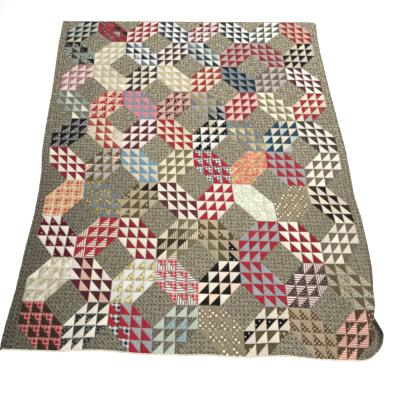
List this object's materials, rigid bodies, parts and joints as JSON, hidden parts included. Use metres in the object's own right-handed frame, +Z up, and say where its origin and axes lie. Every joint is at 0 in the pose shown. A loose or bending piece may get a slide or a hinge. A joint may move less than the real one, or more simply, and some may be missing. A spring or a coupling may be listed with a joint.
{
  "type": "patchwork quilt",
  "caption": "Flat-lying pieced bed quilt of half-square triangles in a wave and diamond layout, with two side borders and a narrow pale edge binding.",
  "frame": {"origin": "bottom centre of the bounding box, on the surface that the quilt lies on", "axes": "+Z up through the cloth, +Y along the quilt towards its far end, +X across it to the right as seen from the near end"},
  "size_m": [1.7922, 2.0448, 0.0389],
  "materials": {
    "pieced_cotton": "matt pieced cotton prints",
    "print_cotton": "matt cotton with a small busy print",
    "edge_cotton": "matt undyed cotton"
  },
  "bodies": {
    "root": {"pieced_centre": "pieced_cotton", "border_left": "print_cotton", "border_right": "print_cotton", "binding_left": "edge_cotton", "binding_right": "edge_cotton", "binding_far": "edge_cotton", "binding_near": "edge_cotton"}
  },
  "joints": []
}
